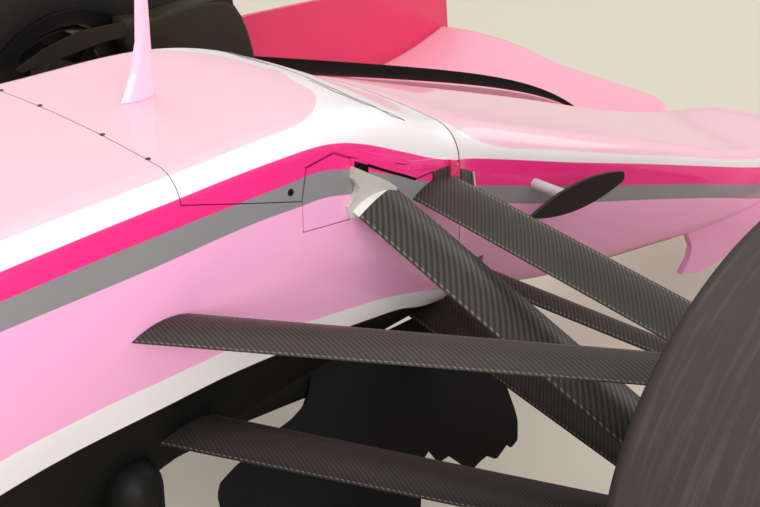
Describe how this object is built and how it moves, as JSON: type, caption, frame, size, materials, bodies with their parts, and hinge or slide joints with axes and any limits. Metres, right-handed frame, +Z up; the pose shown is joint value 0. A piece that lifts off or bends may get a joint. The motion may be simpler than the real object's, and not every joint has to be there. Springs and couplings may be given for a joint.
{
  "type": "open wheel racing car front half",
  "caption": "Front half of an open wheel racing car: hollow chassis with cockpit, nose and front wing, double wishbones, rack steering and hubs with turning wheels.",
  "frame": {"origin": "centre of the four engine studs, on the flat rear face of the chassis", "axes": "+X forwards along the car, +Y to the driver's left, +Z up"},
  "size_m": [3.336, 2.0002, 0.9469],
  "materials": {
    "livery": "gloss",
    "pink": "gloss",
    "magenta": "gloss",
    "carbon": "satin",
    "twill": "woven, clear coated",
    "duct": "matt",
    "steel": "brushed",
    "aluminium": "machined",
    "caliper_metal": "anodised",
    "disc": "carbon, matt",
    "rim": "satin",
    "tyre": "worn slick",
    "pad": "soft",
    "mirror": "polished"
  },
  "bodies": {
    "chassis": {"tub": "livery", "top_cover": "livery", "access_hatches": "livery", "mast": "pink", "nose_cone": "livery", "nose_pods": "carbon", "engine_studs": "steel", "floor_tray": "carbon", "turning_vanes": "carbon", "roll_hoop": "livery", "mirrors": "carbon", "mirror_glasses": "mirror", "headrest": "pad", "seat_shell": "carbon", "dash_frame": "carbon", "wing_main_plane": "pink", "wing_front_flaps": "pink", "wing_rear_flaps": "carbon", "wing_endplates": "magenta", "upper_wishbones": "twill", "lower_wishbones": "twill", "pushrods": "twill", "pushrod_fittings": "aluminium", "rack_housing": "aluminium"},
    "upright_right_body": {"upright_right": "aluminium", "brake_duct_right": "duct", "calliper_right": "caliper_metal"},
    "wheel_right_body": {"hub_right": "steel", "brake_disc_right": "disc", "wheel_rim_right": "rim", "wheel_nut_right": "steel", "tyre_right": "tyre"},
    "upright_left_body": {"upright_left": "aluminium", "brake_duct_left": "duct", "calliper_left": "caliper_metal"},
    "wheel_left_body": {"hub_left": "steel", "brake_disc_left": "disc", "wheel_rim_left": "rim", "wheel_nut_left": "steel", "tyre_left": "tyre"},
    "rack_body": {"rack_bar": "steel", "track_rods": "twill"},
    "steering_wheel_body": {"steering_wheel": "carbon", "steering_column": "steel"}
  },
  "joints": [
    {"name": "steer_right", "type": "hinge", "parent": "chassis", "child": "upright_right_body", "pos_m": [2.14, -0.737, -0.125], "axis": [-0.0306, 0.0525, 0.9981], "range_deg": [-14, 14]},
    {"name": "steer_left", "type": "hinge", "parent": "chassis", "child": "upright_left_body", "pos_m": [2.14, 0.737, -0.125], "axis": [-0.0306, -0.0525, 0.9981], "range_deg": [-14, 14]},
    {"name": "rack_slide", "type": "slide", "parent": "chassis", "child": "rack_body", "axis": [0, 1, 0], "range_m": [-0.0268, 0.0268]},
    {"name": "steering_wheel_turn", "type": "hinge", "parent": "chassis", "child": "steering_wheel_body", "pos_m": [0.96, 0, 0.27], "axis": [0.9781, 0, -0.2079], "range_deg": [-155, 155]},
    {"name": "spin_right", "type": "hinge", "parent": "upright_right_body", "child": "wheel_right_body", "pos_m": [2.15, -0.842, 0.008], "axis": [0, 1, 0], "continuous": true},
    {"name": "spin_left", "type": "hinge", "parent": "upright_left_body", "child": "wheel_left_body", "pos_m": [2.15, 0.842, 0.008], "axis": [0, 1, 0], "continuous": true}
  ],
  "couplings": [
    {"joint": "steer_left", "follows": "steer_right", "ratio": 1},
    {"joint": "rack_slide", "follows": "steer_right", "m_per_rad": 0.10774},
    {"joint": "steering_wheel_turn", "follows": "steer_right", "ratio": -11}
  ]
}
